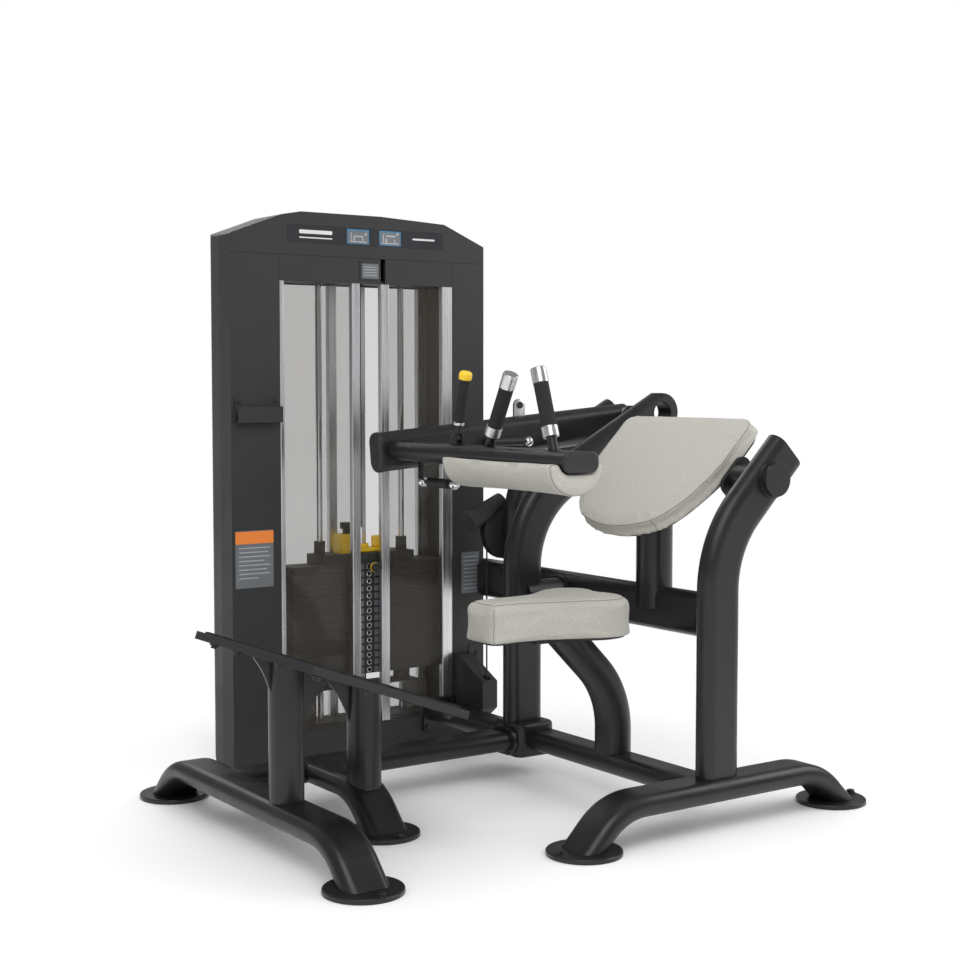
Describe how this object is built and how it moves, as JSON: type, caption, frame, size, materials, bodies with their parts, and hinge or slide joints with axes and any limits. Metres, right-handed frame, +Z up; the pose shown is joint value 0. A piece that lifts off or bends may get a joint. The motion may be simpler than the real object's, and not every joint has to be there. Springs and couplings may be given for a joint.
{
  "type": "hip thrust machine",
  "caption": "Seated hip thrust machine: swinging padded bar arm, seat, back pad and footplate on tube rails, driven by a cable from a weight tower.",
  "frame": {"origin": "on the floor, under the middle of the machine's box", "axes": "+Z up, user faces -X, the weight tower stands along the +Y side"},
  "size_m": [1.6258, 1.468, 1.6225],
  "materials": {
    "frame_black": "satin black powder coat",
    "tower_charcoal": "fine textured charcoal powder coat",
    "cast_iron": "black painted plates",
    "rubber": "ribbed tread and stop",
    "black_plastic": "moulded",
    "foam_grip": "foam sleeve",
    "silver": "brushed extrusion",
    "bright_steel": "polished rod",
    "cable_black": "coated steel rope",
    "upholstery": "off-white grained",
    "yellow": "yellow",
    "smoked_clear": "smoked clear sheet",
    "panel_black": "glossy instruction panel"
  },
  "bodies": {
    "frame": {"accessory_holder": "tower_charcoal", "back_post": "frame_black", "cable_cover": "tower_charcoal", "cam_bracket": "frame_black", "clear_shields": "smoked_clear", "corner_node": "frame_black", "drive_cable": "cable_black", "far_strut": "frame_black", "floor_rails": "frame_black", "foot_discs": "frame_black", "foot_rails": "frame_black", "footplate": "frame_black", "footplate_columns": "frame_black", "footplate_treads": "rubber", "guide_rods": "bright_steel", "instruction_panel": "panel_black", "main_upright": "frame_black", "pad_bearings": "frame_black", "post_bumper": "rubber", "pulley_deck": "tower_charcoal", "rear_beam": "frame_black", "seat_pad": "upholstery", "seat_plate": "frame_black", "seat_post": "frame_black", "side_upright": "frame_black", "stack_plates": "cast_iron", "stack_stand": "tower_charcoal", "tower_base": "tower_charcoal", "tower_columns": "tower_charcoal", "tower_crown": "tower_charcoal", "tower_headers": "tower_charcoal", "tube_caps": "black_plastic", "window_posts": "silver"},
    "back_rest": {"back_pad": "upholstery", "pad_board": "frame_black", "pad_yoke": "frame_black"},
    "drive": {"crank_spindle": "bright_steel"},
    "arm": {"swing_arm": "frame_black", "pad_crossbar": "frame_black", "arm_end_caps": "black_plastic", "hip_pad": "upholstery", "grip_stems": "frame_black", "grip_sleeves": "foam_grip", "grip_fittings": "silver", "lock_fittings": "frame_black", "arm_adjuster": "frame_black"},
    "lever": {"release_lever": "yellow"},
    "cam": {"cam": "cast_iron"},
    "link": {"drive_link": "frame_black"},
    "carriage": {"top_plate": "cast_iron", "picked_weight": "cast_iron", "selector_bar": "bright_steel", "increment_block": "yellow", "stack_cable": "cable_black"},
    "dial": {"increment_dial": "black_plastic"},
    "pin": {"selector_pin": "black_plastic"},
    "lower_wheel": {"lower_pulley": "black_plastic"},
    "base_wheel": {"base_pulley": "black_plastic"},
    "outer_wheel": {"top_pulley_outer": "black_plastic"},
    "inner_wheel": {"top_pulley_inner": "black_plastic"}
  },
  "joints": [
    {"name": "back_pad_tilt", "type": "hinge", "parent": "frame", "child": "back_rest", "pos_m": [0.4515, -0.268, 0.878], "axis": [0, 1, 0], "range_deg": [-8, 12]},
    {"name": "arm_lift", "type": "hinge", "parent": "frame", "child": "drive", "pos_m": [0.7265, 0.249, 1.004], "axis": [0, 1, 0], "range_deg": [0, 45]},
    {"name": "start_adjust", "type": "hinge", "parent": "drive", "child": "arm", "pos_m": [0.7265, 0.249, 1.004], "axis": [0, 1, 0], "range_deg": [-12, 8]},
    {"name": "release_lever", "type": "hinge", "parent": "arm", "child": "lever", "pos_m": [-0.1035, -0.054, 0.97553], "axis": [1, 0, 0], "range_deg": [0, 12], "stiffness_Nm_per_rad": 6, "springref_deg": -11.46},
    {"name": "cam_turn", "type": "hinge", "parent": "frame", "child": "cam", "pos_m": [0.402, 0.425, 0.668], "axis": [0, 1, 0], "range_deg": [0, 45]},
    {"name": "link_swing", "type": "hinge", "parent": "cam", "child": "link", "pos_m": [0.45782, 0.452, 0.64601], "axis": [0, 1, 0], "range_deg": [-45, 0]},
    {"name": "stack_lift", "type": "slide", "parent": "frame", "child": "carriage", "axis": [0, 0, 1], "range_m": [0, 0.057], "deforming": ["stack_cable"]},
    {"name": "dial_turn", "type": "hinge", "parent": "carriage", "child": "dial", "pos_m": [-0.039, 0.646, 0.66], "axis": [0, 0, 1], "range_deg": [0, 90]},
    {"name": "pin_pull", "type": "slide", "parent": "carriage", "child": "pin", "axis": [0, -1, 0], "range_m": [0, 0.09]},
    {"name": "lower_wheel_turn", "type": "hinge", "parent": "frame", "child": "lower_wheel", "pos_m": [0.33, 0.467, 0.175], "axis": [1, 0, 0], "range_deg": [-78, 0]},
    {"name": "base_wheel_turn", "type": "hinge", "parent": "frame", "child": "base_wheel", "pos_m": [0.33, 0.604, 0.175], "axis": [1, 0, 0], "range_deg": [-78, 0]},
    {"name": "outer_wheel_turn", "type": "hinge", "parent": "frame", "child": "outer_wheel", "pos_m": [0.288, 0.646, 1.484], "axis": [0, 1, 0], "range_deg": [0, 78]},
    {"name": "inner_wheel_turn", "type": "hinge", "parent": "frame", "child": "inner_wheel", "pos_m": [0.054, 0.646, 1.484], "axis": [0, 1, 0], "range_deg": [0, 78]}
  ],
  "couplings": [
    {"joint": "cam_turn", "follows": "arm_lift", "ratio": 1},
    {"joint": "link_swing", "follows": "arm_lift", "ratio": -1},
    {"joint": "stack_lift", "follows": "arm_lift", "m_per_rad": 0.072},
    {"joint": "lower_wheel_turn", "follows": "arm_lift", "ratio": -1.7143},
    {"joint": "base_wheel_turn", "follows": "arm_lift", "ratio": -1.7143},
    {"joint": "outer_wheel_turn", "follows": "arm_lift", "ratio": 1.7143},
    {"joint": "inner_wheel_turn", "follows": "arm_lift", "ratio": 1.7143}
  ]
}
